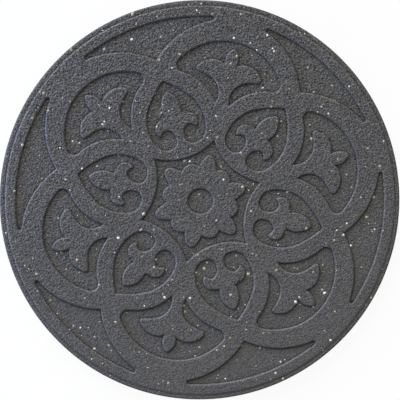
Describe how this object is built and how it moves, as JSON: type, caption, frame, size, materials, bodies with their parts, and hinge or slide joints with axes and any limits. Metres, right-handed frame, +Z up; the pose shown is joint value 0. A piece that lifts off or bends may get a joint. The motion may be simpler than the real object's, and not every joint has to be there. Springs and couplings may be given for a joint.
{
  "type": "garden stepping stone",
  "caption": "Round flat garden stepping stone moulded from dark grey recycled rubber crumb, with a sunk medallion of hearts, leaves and crescents round a rosette, and a low outer ledge.",
  "frame": {"origin": "centre of the flat underside", "axes": "+Z up out of the ornamented face along the disc's axis, +X along the axis of one heart"},
  "size_m": [0.4499, 0.45, 0.016],
  "materials": {
    "crumb_rubber": "matt bonded rubber crumb, dark bluish grey, with scattered tan and cream flecks"
  },
  "bodies": {
    "root": {"stepping_stone": "crumb_rubber"}
  },
  "joints": []
}
